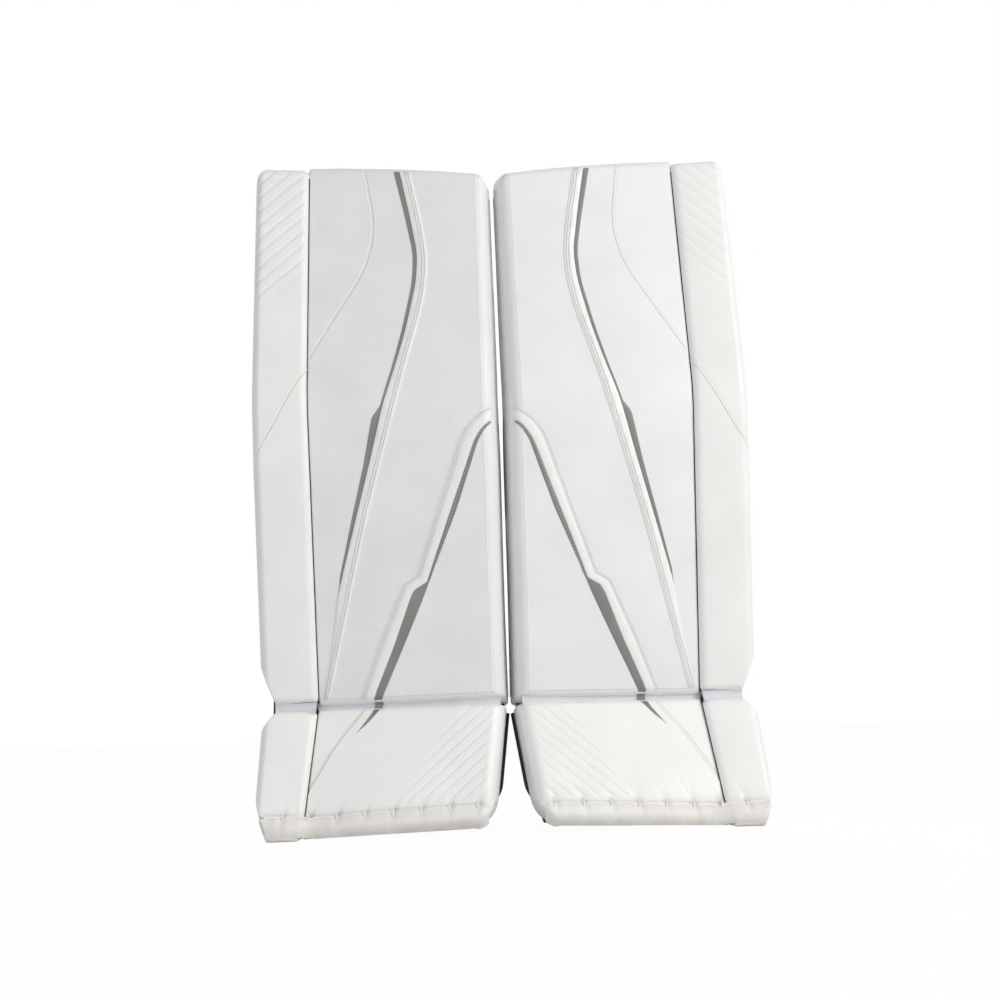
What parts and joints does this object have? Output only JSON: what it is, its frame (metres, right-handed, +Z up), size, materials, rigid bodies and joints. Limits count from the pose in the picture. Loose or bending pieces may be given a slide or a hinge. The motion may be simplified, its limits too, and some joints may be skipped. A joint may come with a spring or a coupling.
{
  "type": "ice hockey goalkeeper's leg pads",
  "caption": "Pair of upright padded ice hockey goalkeeper's leg guards with flexing boot, shin and thigh sections, straps and leg channels.",
  "frame": {"origin": "on the floor, under the middle of the pair's bounding box", "axes": "+Z up; the faces look towards -Y; +X towards the wearer's left pad"},
  "size_m": [0.597, 0.262, 0.803],
  "materials": {
    "synthetic_leather_white": "satin",
    "binding_white": "satin",
    "foam_grey": "matte",
    "woven_nylon_black": "matte",
    "knit_liner_charcoal": "matte",
    "padded_nylon_black": "satin",
    "webbing_black": "matte",
    "elastic_black": "matte",
    "moulded_plastic_black": "matte",
    "plated_steel": "polished"
  },
  "bodies": {
    "right_boot_body": {"right_boot_cover": "synthetic_leather_white", "right_boot_roll_cover": "synthetic_leather_white", "right_boot_foam": "foam_grey", "right_boot_back_panel": "woven_nylon_black", "right_toe_band": "synthetic_leather_white", "right_boot_wedges": "padded_nylon_black", "right_toe_binding": "binding_white", "right_toe_bridge": "moulded_plastic_black", "right_toe_fasteners": "plated_steel"},
    "right_shin_body": {"right_shin_cover": "synthetic_leather_white", "right_shin_roll_cover": "synthetic_leather_white", "right_shin_foam": "foam_grey", "right_shin_back_panel": "woven_nylon_black", "right_flex_beads": "foam_grey", "right_channel_liner": "knit_liner_charcoal", "right_calf_wedge": "padded_nylon_black", "right_knee_stack": "padded_nylon_black"},
    "right_thigh_body": {"right_thigh_cover": "synthetic_leather_white", "right_thigh_roll_cover": "synthetic_leather_white", "right_thigh_foam": "foam_grey", "right_thigh_back_panel": "woven_nylon_black"},
    "right_calf_wing_body": {"right_calf_wing": "padded_nylon_black"},
    "right_knee_wing_body": {"right_knee_wing": "padded_nylon_black"},
    "right_boot_flap_body": {"right_boot_flap": "padded_nylon_black"},
    "right_lower_calf_strap_body": {"right_lower_calf_strap": "webbing_black"},
    "right_upper_calf_strap_body": {"right_upper_calf_strap": "webbing_black"},
    "right_knee_strap_body": {"right_knee_strap": "webbing_black"},
    "right_boot_strap_body": {"right_boot_strap": "webbing_black"},
    "right_thigh_strap_body": {"right_thigh_strap": "elastic_black"},
    "right_toe_strap_body": {"right_toe_strap": "elastic_black"},
    "left_boot_body": {"left_boot_cover": "synthetic_leather_white", "left_boot_roll_cover": "synthetic_leather_white", "left_boot_foam": "foam_grey", "left_boot_back_panel": "woven_nylon_black", "left_toe_band": "synthetic_leather_white", "left_boot_wedges": "padded_nylon_black", "left_toe_binding": "binding_white", "left_toe_bridge": "moulded_plastic_black", "left_toe_fasteners": "plated_steel"},
    "left_shin_body": {"left_shin_cover": "synthetic_leather_white", "left_shin_roll_cover": "synthetic_leather_white", "left_shin_foam": "foam_grey", "left_shin_back_panel": "woven_nylon_black", "left_flex_beads": "foam_grey", "left_channel_liner": "knit_liner_charcoal", "left_calf_wedge": "padded_nylon_black", "left_knee_stack": "padded_nylon_black"},
    "left_thigh_body": {"left_thigh_cover": "synthetic_leather_white", "left_thigh_roll_cover": "synthetic_leather_white", "left_thigh_foam": "foam_grey", "left_thigh_back_panel": "woven_nylon_black"},
    "left_calf_wing_body": {"left_calf_wing": "padded_nylon_black"},
    "left_knee_wing_body": {"left_knee_wing": "padded_nylon_black"},
    "left_boot_flap_body": {"left_boot_flap": "padded_nylon_black"},
    "left_lower_calf_strap_body": {"left_lower_calf_strap": "webbing_black"},
    "left_upper_calf_strap_body": {"left_upper_calf_strap": "webbing_black"},
    "left_knee_strap_body": {"left_knee_strap": "webbing_black"},
    "left_boot_strap_body": {"left_boot_strap": "webbing_black"},
    "left_thigh_strap_body": {"left_thigh_strap": "elastic_black"},
    "left_toe_strap_body": {"left_toe_strap": "elastic_black"}
  },
  "joints": [
    {"name": "pads_apart", "type": "slide", "parent": "right_boot_body", "child": "left_boot_body", "axis": [1, 0, 0], "range_m": [0, 0.25]},
    {"name": "right_boot_flex", "type": "hinge", "parent": "right_boot_body", "child": "right_shin_body", "pos_m": [-0.14348, -0.03765, 0.14586], "axis": [0.9925, -0.1219, 0], "range_deg": [-1.5, 12], "stiffness_Nm_per_rad": 80},
    {"name": "right_thigh_flex", "type": "hinge", "parent": "right_shin_body", "child": "right_thigh_body", "pos_m": [-0.14345, -0.03736, 0.50161], "axis": [-0.9925, 0.1219, 0], "range_deg": [-5, 8], "stiffness_Nm_per_rad": 60},
    {"name": "right_calf_wing_hinge", "type": "hinge", "parent": "right_shin_body", "child": "right_calf_wing_body", "pos_m": [-0.25375, 0.01611, 0.261], "axis": [0, 0, 1], "range_deg": [0, 75]},
    {"name": "right_knee_wing_hinge", "type": "hinge", "parent": "right_shin_body", "child": "right_knee_wing_body", "pos_m": [-0.25375, 0.01611, 0.422], "axis": [0, 0, 1], "range_deg": [0, 75]},
    {"name": "right_boot_flap_hinge", "type": "hinge", "parent": "right_boot_body", "child": "right_boot_flap_body", "pos_m": [-0.25534, 0.0032, 0.063], "axis": [0, 0, 1], "range_deg": [0, 75]},
    {"name": "right_lower_calf_strap_hinge", "type": "hinge", "parent": "right_calf_wing_body", "child": "right_lower_calf_strap_body", "pos_m": [-0.18402, 0.10291, 0.216], "axis": [0, 0, 1], "range_deg": [0, 110]},
    {"name": "right_upper_calf_strap_hinge", "type": "hinge", "parent": "right_calf_wing_body", "child": "right_upper_calf_strap_body", "pos_m": [-0.18402, 0.10291, 0.304], "axis": [0, 0, 1], "range_deg": [0, 110]},
    {"name": "right_knee_strap_hinge", "type": "hinge", "parent": "right_knee_wing_body", "child": "right_knee_strap_body", "pos_m": [-0.18341, 0.1079, 0.424], "axis": [0, 0, 1], "range_deg": [0, 110]},
    {"name": "right_boot_strap_hinge", "type": "hinge", "parent": "right_boot_flap_body", "child": "right_boot_strap_body", "pos_m": [-0.18741, 0.07754, 0.066], "axis": [0, 0, 1], "range_deg": [0, 110]},
    {"name": "right_thigh_strap_hinge", "type": "hinge", "parent": "right_thigh_body", "child": "right_thigh_strap_body", "pos_m": [-0.24905, 0.02158, 0.53349], "axis": [0.0315, 0.2569, 0.9659], "range_deg": [0, 90]},
    {"name": "right_toe_strap_hinge", "type": "hinge", "parent": "right_boot_body", "child": "right_toe_strap_body", "pos_m": [-0.14658, -0.06285, 0.00568], "axis": [0.9925, -0.1219, 0], "range_deg": [0, 25]},
    {"name": "left_boot_flex", "type": "hinge", "parent": "left_boot_body", "child": "left_shin_body", "pos_m": [0.13955, -0.02831, 0.14586], "axis": [0.9816, 0.1908, 0], "range_deg": [-1.5, 12], "stiffness_Nm_per_rad": 80},
    {"name": "left_thigh_flex", "type": "hinge", "parent": "left_shin_body", "child": "left_thigh_body", "pos_m": [0.13949, -0.02802, 0.50161], "axis": [-0.9816, -0.1908, 0], "range_deg": [-5, 8], "stiffness_Nm_per_rad": 60},
    {"name": "left_calf_wing_hinge", "type": "hinge", "parent": "left_shin_body", "child": "left_calf_wing_body", "pos_m": [0.2458, 0.033, 0.261], "axis": [0, 0, -1], "range_deg": [0, 75]},
    {"name": "left_knee_wing_hinge", "type": "hinge", "parent": "left_shin_body", "child": "left_knee_wing_body", "pos_m": [0.2458, 0.033, 0.422], "axis": [0, 0, -1], "range_deg": [0, 75]},
    {"name": "left_boot_flap_hinge", "type": "hinge", "parent": "left_boot_body", "child": "left_boot_flap_body", "pos_m": [0.24828, 0.02024, 0.063], "axis": [0, 0, -1], "range_deg": [0, 75]},
    {"name": "left_lower_calf_strap_hinge", "type": "hinge", "parent": "left_calf_wing_body", "child": "left_lower_calf_strap_body", "pos_m": [0.17018, 0.11473, 0.216], "axis": [0, 0, -1], "range_deg": [0, 110]},
    {"name": "left_upper_calf_strap_hinge", "type": "hinge", "parent": "left_calf_wing_body", "child": "left_upper_calf_strap_body", "pos_m": [0.17018, 0.11473, 0.304], "axis": [0, 0, -1], "range_deg": [0, 110]},
    {"name": "left_knee_strap_hinge", "type": "hinge", "parent": "left_knee_wing_body", "child": "left_knee_strap_body", "pos_m": [0.16922, 0.11966, 0.424], "axis": [0, 0, -1], "range_deg": [0, 110]},
    {"name": "left_boot_strap_hinge", "type": "hinge", "parent": "left_boot_flap_body", "child": "left_boot_strap_body", "pos_m": [0.17533, 0.08967, 0.066], "axis": [0, 0, -1], "range_deg": [0, 110]},
    {"name": "left_thigh_strap_hinge", "type": "hinge", "parent": "left_thigh_body", "child": "left_thigh_strap_body", "pos_m": [0.24073, 0.03814, 0.53349], "axis": [0.0494, -0.2541, -0.9659], "range_deg": [0, 90]},
    {"name": "left_toe_strap_hinge", "type": "hinge", "parent": "left_boot_body", "child": "left_toe_strap_body", "pos_m": [0.14439, -0.05323, 0.00568], "axis": [0.9816, 0.1908, 0], "range_deg": [0, 25]}
  ]
}
